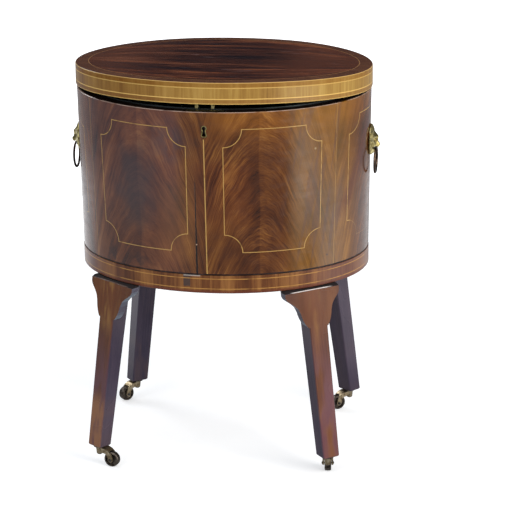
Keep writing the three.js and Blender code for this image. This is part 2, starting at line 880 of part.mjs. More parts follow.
// The horn: a boss that swivels on the pintle and a curved, forked arm that carries the wheel
function casterHorn() {
  const top = -2 * seatGap - casterPlateThickness;
  const axle = wheelLevel();
  const neckFoot = top - hornNeckHeight;
  const outerX = casterTrail + hornEndRadius;
  const innerX = casterTrail - hornEndRadius;
  const arm = new THREE.Shape();
  arm.moveTo(0, top);
  arm.lineTo(bossTopRadius, top);
  arm.bezierCurveTo(casterTrail - bossFootRadius, top, outerX, top - hornNeckHeight, outerX, axle);
  arm.absarc(casterTrail, axle, hornEndRadius, 0, -Math.PI, true);
  arm.bezierCurveTo(innerX, axle + hornNeckHeight, casterTrail - hornNeckHeight, neckFoot, bossTopRadius, neckFoot);
  arm.lineTo(0, neckFoot);
  const armSolid = solid(prism(arm, hornWidth).rotateX(Math.PI / 2).translate(0, hornWidth / 2, 0));
  const shoulders = [-1, 1].map((side) =>
    block(
      [-hornWidth, side > 0 ? bossFootRadius : -hornWidth, axle - casterHeight],
      [bossTopRadius, side > 0 ? hornWidth : -bossFootRadius, overrun],
    ),
  );
  const boss = turned(
    [vec(0, top), vec(bossTopRadius, top), vec(bossFootRadius, top - bossHeight), vec(0, top - bossHeight)],
    roundSegments,
  );
  const slotRadius = wheelRadius + wheelGap;
  const slotHalf = wheelWidth / 2 + runningGap;
  const slot = rod(slotRadius, -slotHalf, slotHalf, "y").translate(casterTrail, 0, axle);
  const bore = rod(pintleRadius + seatGap, -casterHeight, overrun, "z", smallSegments);
  const axleBore = rod(axleRadius + seatGap, -hornWidth, hornWidth, "y", smallSegments).translate(casterTrail, 0, axle);
  return cut(join(cut(armSolid, ...shoulders), boss), slot, bore, axleBore);
}

function casterAxle() {
  const shaftEnd = hornWidth / 2 + seatGap;
  const end = shaftEnd + axleHeadHeight;
  const points = [
    vec(0, -end),
    vec(axleHeadRadius, -end + axleHeadHeight / 2),
    vec(axleHeadRadius, -shaftEnd),
    vec(axleRadius, -shaftEnd),
    vec(axleRadius, shaftEnd),
    vec(axleHeadRadius, shaftEnd),
    vec(axleHeadRadius, end - axleHeadHeight / 2),
    vec(0, end),
  ];
  return new THREE.LatheGeometry(points, smallSegments);
}

function casterWheel() {
  const half = wheelWidth / 2;
  const rimInner = wheelRadius - wheelRimDepth;
  const points = [
    vec(wheelBore, -half),
    vec(wheelHubRadius, -half),
    vec(wheelHubRadius + wheelTreadRound / 2, -wheelWebHalf),
    vec(rimInner - wheelTreadRound / 2, -wheelWebHalf),
    vec(rimInner, -half),
    vec(wheelRadius - wheelTreadRound, -half),
    vec(wheelRadius, -half + wheelTreadRound),
    vec(wheelRadius, half - wheelTreadRound),
    vec(wheelRadius - wheelTreadRound, half),
    vec(rimInner, half),
    vec(rimInner - wheelTreadRound / 2, wheelWebHalf),
    vec(wheelHubRadius + wheelTreadRound / 2, wheelWebHalf),
    vec(wheelHubRadius, half),
    vec(wheelBore, half),
    vec(wheelBore, -half),
  ];
  // Turned by half a facet, so that the wheel stands on a flat
  return new THREE.LatheGeometry(points, roundSegments).rotateY(Math.PI / roundSegments);
}

function caster(name, foot) {
  const group = new THREE.Group();
  group.position.copy(foot);
  group.add(piece("caster_plate_" + name, casterPlate(), agedBrass));
  const swivel = new THREE.Group();
  swivel.rotation.z = rad(casterTurnsDegrees[name]);
  const wheel = piece("caster_wheel_" + name, casterWheel(), agedBrass);
  const axle = piece("caster_axle_" + name, casterAxle(), steel);
  for (const part of [wheel, axle]) part.position.set(casterTrail, 0, wheelLevel());
  swivel.add(piece("caster_horn_" + name, casterHorn(), brass), wheel, axle);
  group.add(swivel);
  return group;
}

function legsAndCasters() {
  const group = new THREE.Group();
  const corners = { front_left: [-1, -1], front_right: [1, -1], back_left: [-1, 1], back_right: [1, 1] };
  for (const [name, [sideX, sideY]] of Object.entries(corners)) {
    const frame = legFrame(sideX, sideY);
    group.add(leg(name, frame));
    group.add(legEar("leg_ear_inner_" + name, frame, -1, earWidths.inner));
    group.add(legEar("leg_ear_outer_" + name, frame, 1, earWidths.outer));
    group.add(caster(name, legFoot(frame)));
  }
  return group;
}

// How far the lion's face stands out at a place given in shares of the mask's half height
function faceHeight(across, up) {
  const roundness = Math.hypot(across * maskHalfHeight / maskHalfWidth, up);
  let height = maskEdge + maskCrown * Math.max(0, 1 - roundness ** 2);
  for (const { across: middle, up: level, wide, tall, rise } of Object.values(faceShares)) {
    const side = (Math.abs(across) - middle) / wide;
    const rising = (up - level) / tall;
    height += rise * maskHalfHeight * Math.exp(-(side ** 2 + rising ** 2) / 2);
  }
  return height;
}

// A lion's mask: a domed face in a ring of mane locks, with the ring's bore through its mouth
function handleMask() {
  const rings = [];
  const turnStep = (2 * Math.PI) / maskSpokes;
  for (let ring = 0; ring <= maskRings; ring += 1) {
    const share = ring / maskRings;
    const spokes = [];
    for (let i = 0; i < maskSpokes; i += 1) {
      const angle = i * turnStep;
      const lock = Math.cos(maskLocks * angle);
      const mane = THREE.MathUtils.smoothstep(share, maneStartShare, maneFullShare);
      const reach = share * (1 + mane * lock * maneScallop / maskHalfHeight);
      const y = reach * maskHalfWidth * Math.cos(angle);
      const z = reach * maskHalfHeight * Math.sin(angle);
      const rise = faceHeight(y / maskHalfHeight, z / maskHalfHeight) + mane * lock * maneRidge;
      spokes.push(new THREE.Vector3(ring === maskRings ? maskEdge : rise, y, z));
    }
    rings.push(spokes);
  }
  const back = rings[maskRings].map((point) => new THREE.Vector3(0, point.y, point.z));
  rings.push(back);
  const bore = rod(ringBoreRadius, -maskHalfWidth, maskHalfWidth, "y", smallSegments);
  bore.translate(ringStandOff, 0, -ringPivotDrop);
  return cut(solid(loft(rings)), bore);
}

// Each handle leans with the wall it is fixed to
function handles() {
  const group = new THREE.Group();
  for (const [side, turn] of [["right", 0], ["left", Math.PI]]) {
    const level = wallTop - maskDrops[side];
    const turning = new THREE.Group();
    turning.rotation.z = turn;
    turning.position.z = level;
    const handle = new THREE.Group();
    handle.rotation.y = wallLean;
    handle.position.x = halfLength + flareAt(level) + seatGap;
    const mask = piece("handle_mask_" + side, handleMask(), brass);
    const loop = new THREE.TorusGeometry(ringRadius, ringWireRadius, ringTubeSides, ringSteps).rotateY(Math.PI / 2);
    const ring = piece("handle_ring_" + side, loop, bronze);
    ring.position.set(ringStandOff, 0, -ringPivotDrop - ringRadius);
    handle.add(mask, ring);
    turning.add(handle);
    group.add(turning);
  }
  return group;
}

const group = new THREE.Group();
group.add(carcassWall(), baseBead(), baseBand(), bottomBoard(), liner());
group.add(bottleDivisions());
group.add(lockCase(), lockSelvedge(), lockBolt(), escutcheon());
group.add(carcassHinges());
group.add(lid());
group.add(legsAndCasters());
group.add(handles());

export default group;
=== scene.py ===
"""The looks of an oval mahogany cellarette: veneers, stringing, brass and a plain pale studio."""

import math

import bmesh
import bpy
from mathutils import Matrix, Vector


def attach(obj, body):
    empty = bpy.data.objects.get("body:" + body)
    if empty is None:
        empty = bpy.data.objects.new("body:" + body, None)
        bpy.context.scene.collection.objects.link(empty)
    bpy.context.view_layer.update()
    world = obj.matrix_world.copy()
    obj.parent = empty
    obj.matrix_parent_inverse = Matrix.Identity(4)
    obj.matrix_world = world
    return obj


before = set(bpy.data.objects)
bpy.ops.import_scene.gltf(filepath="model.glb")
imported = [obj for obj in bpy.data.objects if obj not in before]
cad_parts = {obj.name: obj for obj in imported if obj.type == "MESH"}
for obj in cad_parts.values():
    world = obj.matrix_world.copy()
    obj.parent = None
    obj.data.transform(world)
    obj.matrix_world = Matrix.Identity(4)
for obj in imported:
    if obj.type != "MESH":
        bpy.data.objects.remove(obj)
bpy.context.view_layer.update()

# The oval body, in metres, which widens a little from its foot to its top
HALF_LENGTH = 0.2602
HALF_DEPTH = 0.2112
WALL_FOOT = 0.3824
WALL_TOP = 0.6724
WALL_FLARE = 0.0046
BAND_FOOT = 0.3469
BAND_TOP = 0.3794

# Length along the oval: so much for each radian of turn, for the sine of twice it and of four times it
ARC_TERMS = (0.23634, 0.01219, -0.000157)

# Plain wood turns into veneer between these shares of the way out to the oval's outline
CORE_SHARES = (0.985, 0.992)

# The lid, closed: its outline, its top, how far its ends hang, and the hinge that it is opened on
LID_HALF_LENGTH = 0.2667
LID_HALF_DEPTH = 0.2177
LID_TOP = 0.711
LID_FLAT_HALF = 0.07
LID_DROPS = (0.0034, 0.0054)
HINGE_PLACE = (0, 0.2166, 0.6727)
LID_AJAR = math.radians(1.8)

# A leg's own directions: outward from the middle of the body, and sideways towards its outer ear
LEG_OUTWARD = (0.6136, 0.7896)
LEG_MIDDLE = 0.0485
LEG_SHOULDER = 0.344
LEG_LEANS = (0.109, 0.088)

# Slips beside a leg's head: the level of their foot, their distance out from the body's middle, depth, lean
# and the slope of their top, and then for each its two edges sideways and how much these lean
SLIP_FOOT = 0.2785
SLIP_FRONT = 0.23824
SLIP_DEPTH = 0.0024
SLIP_LEAN_OUT = 0.1294
SLIP_TOP_SLOPE = 0.487
SLIPS = (("inner", 0.0289, 0.0315, 0.0404), ("outer", 0.0656, 0.0682, 0.0243))

# Where sheets and panels of the wall begin and end, in degrees round the oval from the middle of the front
SHEET_JOINT = 56
FRONT_PANEL_SIDES = (7.2, 48)
END_PANEL_SIDE = 64.4

# How far the seam in the right front sheet lies from that sheet's middle, towards the front's
SEAM_SHIFT = 0.026

# Stringing: widths, how the wall's strings are stretched, spread with height and lean, and their places
PANEL_STRING = 0.0010
CENTRE_STRING = 0.0015
LID_STRING = 0.0013
BAND_STRING = 0.0011
STRING_SHARE = 1.015
STRING_SPREADS = (0.14, 0.1)
STRING_SKEW = 0.0095
CENTRE_STRING_TOP = 0.6245
PANEL_MIDDLE = 0.5321
PANEL_HALF_HEIGHT = 0.1104
PANEL_CORNER = 0.032
LID_BORDER = 0.024
LID_STRING_DROPS = (0.0006, 0.00965, 0.0289, 0.0372)
BAND_STRING_LEVELS = (0.3734, 0.3553)

# Damage: the crack in the wall, and the middle and half width of a replaced piece and a lifted sliver
# of the base band, all measured along the oval
CRACK_PLACE = -0.0163
CRACK_LEAN = -0.006
CRACK_TOP = 0.56
DARK_PIECE = (-0.0352, 0.0058)
SLIVER = (-0.026, 0.0145)

# Darkest on the wall: the seam of the left sheet's figure, this far from the sheet's middle and at this level,
# and a place above it, along the wall and in level
HEART_SHIFT = 0.009
HEART_LEVEL = 0.53
UPPER_SHADE = (-0.062, 0.618)

# Paler, redder and more golden parts of the wall. The last one is painted light: a soft painted highlight that
# stands for a lamp's reflection towards the right end. Each has a range along the wall and one of levels, given
# as where it starts and ends to rise and to fall, then its colour and how that is laid on. A range that ends
# beyond 1 m is open.
WALL_TINTS_AND_SHEEN = (
    ((-0.1, -0.06, -0.025, -0.012), (0.39, 0.43, 0.52, 0.57), (0.035, 0.016, 0.003), "ADD"),
    ((-0.03, -0.01, 0.06, 0.1), (0.44, 0.5, 0.57, 0.6), (0.9, 0.78, 0.8), "MULTIPLY"),
    ((-0.03, 0.04, 1.0, 1.1), (0.61, 0.66, 1.0, 1.1), (0.06, 0.022, 0.0), "ADD"),
    ((0.13, 0.17, 0.24, 0.32), (0.0, 0.1, 1.0, 1.1), (0.05, 0.031, 0.003), "ADD"),
)

# Spots on the wall: place along it and level, radius, softness, strength and colour
WALL_SPOTS = (
    ((-0.0162, 0.4352), 0.0012, 0.0005, 0.8, (0.45, 0.3, 0.2)),
    ((0.195, 0.5987), 0.0018, 0.001, 0.55, (0.4, 0.31, 0.17)),
    ((0.2216, 0.4016), 0.0016, 0.0008, 0.8, (0.02, 0.01, 0.01)),
)

# Tones of each wood from dark to light, with the value of its grain at which each is reached
WALL_TONES = (
    (0.33, (0.019, 0.006, 0.003)),
    (0.45, (0.066, 0.019, 0.005)),
    (0.55, (0.122, 0.041, 0.009)),
    (0.68, (0.24, 0.104, 0.021)),
)
LID_BAND_TONES = (
    (0.3, (0.16, 0.075, 0.014)),
    (0.42, (0.26, 0.135, 0.026)),
    (0.54, (0.34, 0.2, 0.043)),
    (0.7, (0.46, 0.3, 0.08)),
)
LID_FIELD_TONES = (
    (0.38, (0.004, 0.002, 0.008)),
    (0.46, (0.024, 0.006, 0.006)),
    (0.53, (0.082, 0.02, 0.009)),
    (0.61, (0.22, 0.07, 0.028)),
)
LID_BORDER_TONES = ((0.3, (0.05, 0.016, 0.01)), (0.5, (0.095, 0.033, 0.018)), (0.7, (0.16, 0.065, 0.032)))
LID_CORE_TONES = ((0.35, (0.045, 0.018, 0.009)), (0.65, (0.12, 0.052, 0.024)))
BASE_BAND_TONES = (
    (0.34, (0.028, 0.009, 0.005)),
    (0.45, (0.06, 0.019, 0.007)),
    (0.56, (0.115, 0.038, 0.011)),
    (0.7, (0.24, 0.1, 0.027)),
)
LEG_TONES = ((0.32, (0.042, 0.011, 0.006)), (0.5, (0.098, 0.029, 0.011)), (0.7, (0.17, 0.058, 0.019)))
# Painted shade with a cool painted reflection in it, for a leg's faces that look away from outward
LEG_SHADED_SIDE_TONES = ((0.3, (0.025, 0.026, 0.048)), (0.5, (0.058, 0.05, 0.078)))
DIVIDER_TONES = ((0.35, (0.06, 0.026, 0.014)), (0.65, (0.15, 0.07, 0.035)))
DEAL_TONES = ((0.35, (0.13, 0.075, 0.035)), (0.65, (0.32, 0.2, 0.1)))
EBONY_TONES = ((0.45, (0.008, 0.004, 0.005)), (0.7, (0.05, 0.024, 0.02)))
ZINC_TONES = ((0.38, (0.09, 0.11, 0.1)), (0.55, (0.2, 0.25, 0.24)), (0.7, (0.36, 0.41, 0.39)))

# What differs between the left legs (-1) and the right ones (1): gold at the head, embers near the foot,
# the purple below the head, painted to stand for a bluish reflection, and the painted line at the shoulder, a
# highlight on the right legs and a shadow on the left ones
LEG_LOOKS = {
    -1: {"gold": 0.62, "ember": 0.75, "purple": (0.095, 0.038, 0.05), "painted_shoulder_line": (0.1, 0.06, 0.045)},
    1: {"gold": 0.3, "ember": 0.3, "purple": (0.13, 0.052, 0.062), "painted_shoulder_line": (0.75, 0.68, 0.64)},
}

# Rounding: points closer together than this are one, and edges that turn by more than this are rounded
WELD_DISTANCE = 0.000002
ROUNDED_ANGLE = math.radians(32)

# The camera, as it was found from the photograph; its target lies a little aside of the body's middle
CAMERA_AZIMUTH = math.radians(8.74)
CAMERA_ELEVATION = math.radians(17.29)
CAMERA_ROLL = math.radians(-0.535)
CAMERA_DISTANCE = 4.25881
CAMERA_LENS = 162.91
CAMERA_ASIDE = 0.05455
CAMERA_TARGET_HEIGHT = 0.3475

# The studio: half the floor's width, and each lamp's place, target, width, height, power and colour
FLOOR_HALF = 12.0
LAMPS = {
    "key": ((2.6, -1.9, 1.5), (0, 0, 0.5), 1.8, 2.6, 95, (1.0, 0.97, 0.93)),
    "fill": ((-2.2, -3.0, 2.2), (0, 0, 0.45), 2.4, 2.0, 38, (0.93, 0.96, 1.0)),
    "back": ((-2.9, 2.3, 2.6), (0, 0, 0.4), 1.6, 1.6, 40, (0.96, 0.98, 1.0)),
}


class Sock:
    """An output of a node, with plain arithmetic."""

    def __init__(self, graph, socket):
        self.graph = graph
        self.socket = socket

    def __add__(self, other):
        return self.graph.math("ADD", self, other)

    def __radd__(self, other):
        return self.graph.math("ADD", other, self)

    def __sub__(self, other):
        return self.graph.math("SUBTRACT", self, other)

    def __rsub__(self, other):
        return self.graph.math("SUBTRACT", other, self)

    def __mul__(self, other):
        return self.graph.math("MULTIPLY", self, other)

    def __truediv__(self, other):
        return self.graph.math("DIVIDE", self, other)


class Graph:
    """A material's or the world's node graph, written as formulas."""

    def __init__(self, tree):
        self.tree = tree
        self.tree.nodes.clear()

    def plug(self, place, value):
        if isinstance(value, Sock):
            self.tree.links.new(value.socket, place)
        else:
            place.default_value = value

    def node(self, kind, inputs=(), **settings):
        made = self.tree.nodes.new(kind)
        for name, value in settings.items():
            setattr(made, name, value)
        for name, value in dict(inputs).items():
            self.plug(made.inputs[name], value)
        return made

    def out(self, kind, output, inputs=(), **settings):
        return Sock(self, self.node(kind, inputs, **settings).outputs[output])

    def math(self, operation, *values):
        return self.out("ShaderNodeMath", 0, dict(enumerate(values)), operation=operation)

    def absolute(self, value):
        return self.math("ABSOLUTE", value)

    def sine(self, value):
        return self.math("SINE", value)

    def hypot(self, first, second):
        return self.math("SQRT", first * first + second * second)

    def largest(self, *values):
        result = values[0]
        for value in values[1:]:
            result = self.math("MAXIMUM", result, value)
        return result

    def vector(self, x, y, z):
        return self.out("ShaderNodeCombineXYZ", 0, {0: x, 1: y, 2: z})

    def split(self, vector):
        parts = self.node("ShaderNodeSeparateXYZ", {0: vector})
        return [Sock(self, parts.outputs[i]) for i in range(3)]

    def place(self):
        return self.out("ShaderNodeTexCoord", "Object")

    def noise(self, vector, scale=1.0, detail=2.0, roughness=0.5):
        inputs = {"Vector": vector, "Scale": scale, "Detail": detail, "Roughness": roughness}
        return self.out("ShaderNodeTexNoise", "Fac", inputs)

    def step(self, value, low, high, start=0.0, end=1.0):
        """A smooth change from the start to the end while the value goes from low to high."""
        inputs = {"Value": value, "From Min": low, "From Max": high, "To Min": start, "To Max": end}
        return self.out("ShaderNodeMapRange", 0, inputs, interpolation_type="SMOOTHSTEP")

    def fall(self, value, low, high):
        """1 up to the low value and 0 from the high one."""
        return self.step(value, low, high, 1.0, 0.0)

    def between(self, value, rise_from, rise_to, fall_from, fall_to):
        """1 in the middle of a range with soft ends, and 0 outside it."""
        return self.step(value, rise_from, rise_to) * self.fall(value, fall_from, fall_to)

    def line(self, distance, width, soft=0.0003):
        """1 on a line of that width where the distance is 0, and 0 beside it."""
        return self.fall(self.absolute(distance), width / 2, width / 2 + soft)

    def strip(self, value, middle, half_width, soft):
        """1 on a strip about the middle value, and 0 beside it."""
        return self.fall(self.absolute(value - middle) - half_width, 0.0, soft)

    def spot(self, across, up, middle, radius, soft):
        reach = self.hypot(across - middle[0], up - middle[1])
        return self.fall(reach, radius - soft, radius + soft)

    def mix(self, share, first, second, blend="MIX"):
        """Mixes colours, which are inputs 6 and 7 and output 2 of a node that serves several kinds of data."""
        made = self.node("ShaderNodeMix", data_type="RGBA", blend_type=blend, clamp_factor=True)
        for place, value in ((0, share), (6, first), (7, second)):
            if isinstance(value, tuple):
                value = (*value, 1.0)
            self.plug(made.inputs[place], value)
        return Sock(self, made.outputs[2])

    def ramp(self, share, stops):
        made = self.node("ShaderNodeValToRGB", {0: share})
        band = made.color_ramp
        while len(band.elements) < len(stops):
            band.elements.new(0.5)
        for element, (place, colour) in zip(band.elements, stops):
            element.position = place
            element.color = (*colour, 1.0)
        return Sock(self, made.outputs[0])

    def surface(self, colour, roughness, metallic=0.0, specular=0.5, height=None, depth=0.0001):
        inputs = {
            "Base Color": colour,
            "Roughness": roughness,
            "Metallic": metallic,
            "Specular IOR Level": specular,
        }
        shader = self.node("ShaderNodeBsdfPrincipled", inputs)
        if height is not None:
            bump = self.out("ShaderNodeBump", 0, {"Strength": 1.0, "Distance": depth, "Height": height})
            self.plug(shader.inputs["Normal"], bump)
        self.node("ShaderNodeOutputMaterial", {"Surface": Sock(self, shader.outputs[0])})


def material(name, recipe, *values):
    made = bpy.data.materials.new(name)
    made.use_nodes = True
    recipe(Graph(made.node_tree), *values)
    return made


def arc_length(turn, sine=math.sin):
    """Length along the oval from the middle of the front, for a turn in radians."""
    once, twice, four_times = ARC_TERMS
    return turn * once + sine(turn * 2.0) * twice + sine(turn * 4.0) * four_times


def degrees_along(degrees):
    return arc_length(math.radians(degrees))


def oval_place(g, x, y):
    """The same length for a point on the wall, negative to the left."""
    return arc_length(g.math("ARCTAN2", x / HALF_LENGTH, y / -HALF_DEPTH), g.sine)


def oval_reach(g, x, y, half_length, half_depth):
    """How far out a point lies, as a share of the way to the oval's outline."""
    return g.hypot(x / half_length, y / half_depth)


def flame(g, across, up, sheet, clearness):
    """Crotch-figured mahogany: plumes that rise to a seam and fall away from it ever more steeply."""
    seed = sheet * 3.7
    bend = g.noise(g.vector(0.0, up * 5.0, seed + 5.0), detail=1.0) - 0.5
    middle = across + bend * 0.022
    away = g.math("SQRT", middle * middle + 0.0001)
    wobble = g.noise(g.vector(middle * 13.0, up * 10.0, seed), detail=3.0) - 0.5
    level = up + away * 0.5 + away * away * 13.0 + wobble * 0.06
    broad = g.noise(g.vector(middle * 11.0, level * 20.0, seed), detail=2.0, roughness=0.55)
    streak = g.noise(g.vector(middle * 20.0, level * 95.0, seed + 1.0), detail=2.0, roughness=0.55)
    fine = g.noise(g.vector(middle * 42.0, level * 260.0, seed + 4.0), detail=2.0, roughness=0.6)
    fibre = g.noise(g.vector(middle * 160.0, level * 750.0, seed + 2.0), detail=1.0)
    cloud = g.noise(g.vector(across * 16.0, up * 9.0, seed + 9.0), detail=3.0)
    strong = g.step(g.noise(g.vector(across * 14.0, up * 12.0, seed + 6.0), detail=2.0), 0.38, 0.6, 0.35, 1.0)
    lines = (streak - 0.5) * 0.34 + (fine - 0.5) * 0.24
    seam = g.step(middle, -0.0035, -0.0005, -0.03, 0.03) * g.fall(away, 0.012, 0.03)
    tone = broad * 0.32 + cloud * 0.38 + fibre * 0.16 + 0.07 + lines * strong * clearness * 1.3 + seam
    return g.ramp(tone, WALL_TONES), fibre * 0.5 + streak * 0.5


def crossbanding(g, along, up, seed, tones, patch=0.5):
    """Veneer strips whose grain stands upright, joined edge to edge."""
    wide = g.noise(g.vector(along * 26.0, up * 2.0, seed), detail=2.0)
    plank = g.math("FLOOR", along / 0.071 + wide * 0.4)
    shift = g.out("ShaderNodeTexWhiteNoise", "Value", {"W": plank + seed}, noise_dimensions="1D")
    grain = g.noise(g.vector(along * 190.0, up * 9.0, seed + 1.0), detail=3.0, roughness=0.6)
    thread = g.noise(g.vector(along * 900.0, up * 22.0, seed + 2.0), detail=2.0)
    tone = wide * patch + shift * 0.1 + grain * (0.62 - patch * 0.5) + thread * 0.16
    return g.ramp(tone, tones), grain * 0.5 + thread * 0.5


def left_tones(g, colour, along, z, left, heart_side, on_front):
    """The left sheets are darker and more purple, most of all along the seam of their figure."""
    colour = g.mix(left, colour, (1.0, 0.93, 1.5), "MULTIPLY")
    patch = g.noise(g.vector(along * 35.0, z * 22.0, 21.0), detail=3.0)
    heart_rise = z - HEART_LEVEL
    heart_reach = g.math("SQRT", heart_side * heart_side * 5.0 + heart_rise * heart_rise) + (patch - 0.5) * 0.12
    heart = g.fall(heart_reach, 0.03, 0.12) * left * on_front
    colour = g.mix(heart * 0.66, colour, (0.034, 0.022, 0.022))
    upper_reach = g.hypot(along - UPPER_SHADE[0], z - UPPER_SHADE[1])
    upper = g.fall(upper_reach, 0.01, 0.055) * g.step(patch, 0.4, 0.55)
    colour = g.mix(upper * 0.5, colour, (0.05, 0.032, 0.035))
    blotch = g.step(patch, 0.5, 0.6) * g.fall(z, 0.4, 0.42) * g.between(along, -0.21, -0.19, -0.13, -0.1)
    colour = g.mix(blotch * 0.6, colour, (0.02, 0.009, 0.01))
    return g.mix(left * g.step(z, 0.42, 0.55), colour, (0.008, 0.01, 0.015), "ADD")


def right_streaks(g, colour, along, z, right_side):
    """Grey-brown streaks at the right of the right sheet, and one leaning red streak."""
    shade = g.noise(g.vector(along * 75.0 - z * 14.0, z * 5.0, 31.0), detail=2.0)
    shade = g.step(shade, 0.5, 0.64) * g.between(along, 0.12, 0.16, 0.24, 0.27)
    colour = g.mix(shade * 0.4, colour, (0.065, 0.034, 0.03))
    beside_streak = g.absolute(along - (z - 0.505) * 0.6 - 0.275)
    streak = g.fall(beside_streak, 0.004, 0.024) * g.step(z, 0.44, 0.5) * right_side
    return g.mix(streak * 0.6, colour, (0.07, 0.014, 0.008))


def panel_line(g, along, up, middle, half_width):
    """The string of a panel with hollow corners."""
    dx = g.absolute(along - middle) - half_width
    dz = g.absolute(up - PANEL_MIDDLE) - PANEL_HALF_HEIGHT
    return g.line(g.largest(dx, dz, PANEL_CORNER - g.hypot(dx, dz)), PANEL_STRING)


def wall_strings(g, along, length, z, right_side):
    """1 on the wall's inlaid strings, less where they are rubbed away and where the end panel's are nearly
    lost.
    """
    half_round = arc_length(math.pi)
    end = degrees_along(90)
    rise = z - PANEL_MIDDLE
    skew = rise * STRING_SKEW
    left_spread, right_spread = STRING_SPREADS
    folded = g.math("MINIMUM", length, half_round - length) * STRING_SHARE + right_side * skew
    folded = folded / (1.0 + rise * (right_side * (right_spread - left_spread) + left_spread))
    near_side, far_side = [degrees_along(side) for side in FRONT_PANEL_SIDES]
    front_panel = panel_line(g, folded, z, (near_side + far_side) / 2, (far_side - near_side) / 2)
    end_panel = panel_line(g, folded, z, end, end - degrees_along(END_PANEL_SIDE))
    lost = g.step(z, 0.4515, 0.4535, 0.8, 0.0) * g.fall(length, end - 0.01, end + 0.05)
    joints = g.line(folded - degrees_along(SHEET_JOINT), PANEL_STRING)
    front = g.line(along + skew, CENTRE_STRING) * g.math("LESS_THAN", z, CENTRE_STRING_TOP)
    back = g.line(half_round - length, CENTRE_STRING)
    strings = g.largest(front_panel, end_panel * (1.0 - lost), joints * 0.4, front, back)
    wear = g.noise(g.vector(along * 60.0, z * 60.0, 2.0), detail=2.0)
    return strings * g.step(wear, 0.3, 0.46, 0.45, 1.0)


def wall_crack(g, along, z):
    """1 in the shrinkage crack beside the middle string, which is widest at the foot."""
    wander = (g.noise(g.vector(z * 60.0, 0.0, 0.0)) - 0.5) * 0.0012
    middle = (z - WALL_FOOT) * CRACK_LEAN + CRACK_PLACE + wander
    half_width = g.step(z, WALL_FOOT, CRACK_TOP, 0.0013, 0.0004)
    beside = g.absolute(along - middle) - half_width
    return g.fall(beside, -0.0001, 0.0004) * g.fall(z, CRACK_TOP - 0.02, CRACK_TOP)


def wall_veneer(g):
    """Figured sheets with strings between and on them, the marks that age has left, a painted sheen towards the
    right end and a painted highlight along the top arris.
    """
    x, y, z = g.split(g.place())
    along = oval_place(g, x, y)
    length = g.absolute(along)
    joint = degrees_along(SHEET_JOINT)
    right_side = g.math("GREATER_THAN", along, 0.0)
    past_front = g.math("GREATER_THAN", length, joint)
    past_end = g.math("GREATER_THAN", length, arc_length(math.pi) - joint)
    passed = past_front + past_end
    on_front = 1.0 - past_front
    seam = joint / 2 + passed * (degrees_along(90) - joint / 2) - right_side * on_front * SEAM_SHIFT
    across = (length - seam) * g.math("SIGN", along)
    left = g.fall(along, -0.06, -0.03)
    clearness = 1.0 - left * 0.45 - g.step(along, 0.11, 0.19) * right_side * 0.4
    colour, grain = flame(g, across, z, passed * 2.0 + right_side, clearness)
    colour = left_tones(g, colour, along, z, left, across + HEART_SHIFT, on_front)
    # Tints of the wall; the last of them is a painted highlight towards its right end
    for places, levels, shade, blend in WALL_TINTS_AND_SHEEN:
        colour = g.mix(g.between(along, *places) * g.between(z, *levels), colour, shade, blend)
    colour = right_streaks(g, colour, along, z, right_side)
    strings = wall_strings(g, along, length, z, right_side)
    colour = g.mix(strings, colour, (0.4, 0.235, 0.065))
    crack = wall_crack(g, along, z)
    colour = g.mix(crack, colour, (0.004, 0.003, 0.003))
    for middle, radius, soft, strength, shade in WALL_SPOTS:
        colour = g.mix(g.spot(along, z, middle, radius, soft) * strength, colour, shade)
    # A painted highlight along the wall's top arris, broken up by noise
    edge = g.step(z, WALL_TOP - 0.0012, WALL_TOP - 0.0004)
    top_arris_highlight = edge * g.step(g.noise(g.vector(along * 25.0, 0.0, 0.0)), 0.36, 0.52)
    colour = g.mix(top_arris_highlight * 0.65, colour, (0.5, 0.36, 0.29))

    # Inside the wall, and in its cut faces, plain wood shows
    widened = (z - WALL_FOOT) * (WALL_FLARE / (WALL_TOP - WALL_FOOT) / HALF_LENGTH)
    core = g.fall(oval_reach(g, x, y, HALF_LENGTH, HALF_DEPTH) - widened, *CORE_SHARES)
    colour = g.mix(core, colour, (0.016, 0.009, 0.007))
    scuff = g.noise(g.vector(along * 40.0, z * 90.0, 7.0), detail=3.0)
    roughness = g.step(scuff, 0.3, 0.75, 0.1, 0.26)
    g.surface(colour, roughness, height=grain - strings * 0.3 - crack * 6.0, depth=0.00007)


def closed_lid_place(g):
    """The place on the lid if it were closed and flat, so that strings keep their levels."""
    turn = {"Vector": g.place(), "Center": HINGE_PLACE, "Angle": LID_AJAR}
    x, y, z = g.split(g.out("ShaderNodeVectorRotate", 0, turn, rotation_type="X_AXIS"))
    share = g.math("MAXIMUM", g.absolute(x) - LID_FLAT_HALF, 0.0) / (LID_HALF_LENGTH - LID_FLAT_HALF)
    left, right = LID_DROPS
    sunk = share * share * (g.math("GREATER_THAN", x, 0.0) * (right - left) + left)
    return x, y, z + sunk


